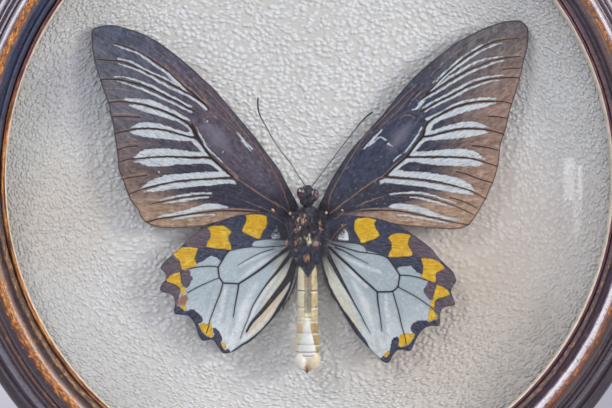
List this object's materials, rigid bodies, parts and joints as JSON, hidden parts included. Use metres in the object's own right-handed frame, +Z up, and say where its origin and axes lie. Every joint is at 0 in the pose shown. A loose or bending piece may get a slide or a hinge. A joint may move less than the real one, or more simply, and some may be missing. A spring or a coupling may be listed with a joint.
{
  "type": "round butterfly display case",
  "caption": "Round convex-glass display case: turned wooden ring frame, embossed cream dish backing, one mounted butterfly, rear cover held by turn buttons, and a hanging ring.",
  "frame": {"origin": "centre of the rear rim, on the wall plane", "axes": "+Y points into the wall along the case axis, +Z up, +X to the right seen from the front; the glass faces -Y"},
  "size_m": [0.254, 0.037, 0.254],
  "materials": {
    "bronzed_wood": "dark bronzed wood, copper showing on the worn crests, semi-gloss",
    "copper_slip": "copper-gilt wood, worn, semi-gloss",
    "glass": "clear, polished",
    "felt": "black felt",
    "leatherette": "cream embossed leatherette paper, soft sheen",
    "card": "grey-brown card",
    "foam": "white foam",
    "hardboard": "brown hardboard, rough side out",
    "brass": "aged brass, satin",
    "brass_screw": "brass, slotted head",
    "steel": "plated steel",
    "forewing": "matt dark brown scales with pale grey streaks",
    "hindwing": "pale grey scales, black border, yellow spots",
    "body_hair": "dark brown hair with tan tufts",
    "eye": "glossy brown-black",
    "abdomen": "cream, soft, segmented",
    "antenna": "black",
    "cork": "cork"
  },
  "bodies": {
    "case": {"moulding_ring": "bronzed_wood", "sight_liner": "copper_slip", "glass_dome": "glass", "glass_gasket": "felt", "backing_dish": "leatherette", "spacer_ring": "card", "backing_pad": "foam", "rear_cover": "hardboard", "button_washers": "steel", "button_screws": "brass_screw", "hanger_plate": "brass", "hanger_screws": "brass_screw", "forewing_left": "forewing", "forewing_right": "forewing", "hindwing_left": "hindwing", "hindwing_right": "hindwing", "thorax": "body_hair", "head": "body_hair", "eyes": "eye", "abdomen": "abdomen", "antenna_left": "antenna", "antenna_right": "antenna", "specimen_pad": "cork", "mounting_pin": "steel"},
    "hanger_ring": {"hanger_ring": "brass"},
    "turn_button_1": {"turn_button_1": "brass"},
    "turn_button_2": {"turn_button_2": "brass"},
    "turn_button_3": {"turn_button_3": "brass"},
    "turn_button_4": {"turn_button_4": "brass"}
  },
  "joints": [
    {"name": "turn_button_1_pivot", "type": "hinge", "parent": "case", "child": "turn_button_1", "pos_m": [0.08132, -0.0042, 0.08132], "axis": [0, 1, 0], "range_deg": [-90, 90]},
    {"name": "turn_button_2_pivot", "type": "hinge", "parent": "case", "child": "turn_button_2", "pos_m": [-0.08132, -0.0042, 0.08132], "axis": [0, 1, 0], "range_deg": [-90, 90]},
    {"name": "turn_button_3_pivot", "type": "hinge", "parent": "case", "child": "turn_button_3", "pos_m": [-0.08132, -0.0042, -0.08132], "axis": [0, 1, 0], "range_deg": [-90, 90]},
    {"name": "turn_button_4_pivot", "type": "hinge", "parent": "case", "child": "turn_button_4", "pos_m": [0.08132, -0.0042, -0.08132], "axis": [0, 1, 0], "range_deg": [-90, 90]},
    {"name": "hanger_ring_pivot", "type": "hinge", "parent": "case", "child": "hanger_ring", "pos_m": [0, -0.003, 0.1115], "axis": [1, 0, 0], "range_deg": [-6, 180]}
  ]
}
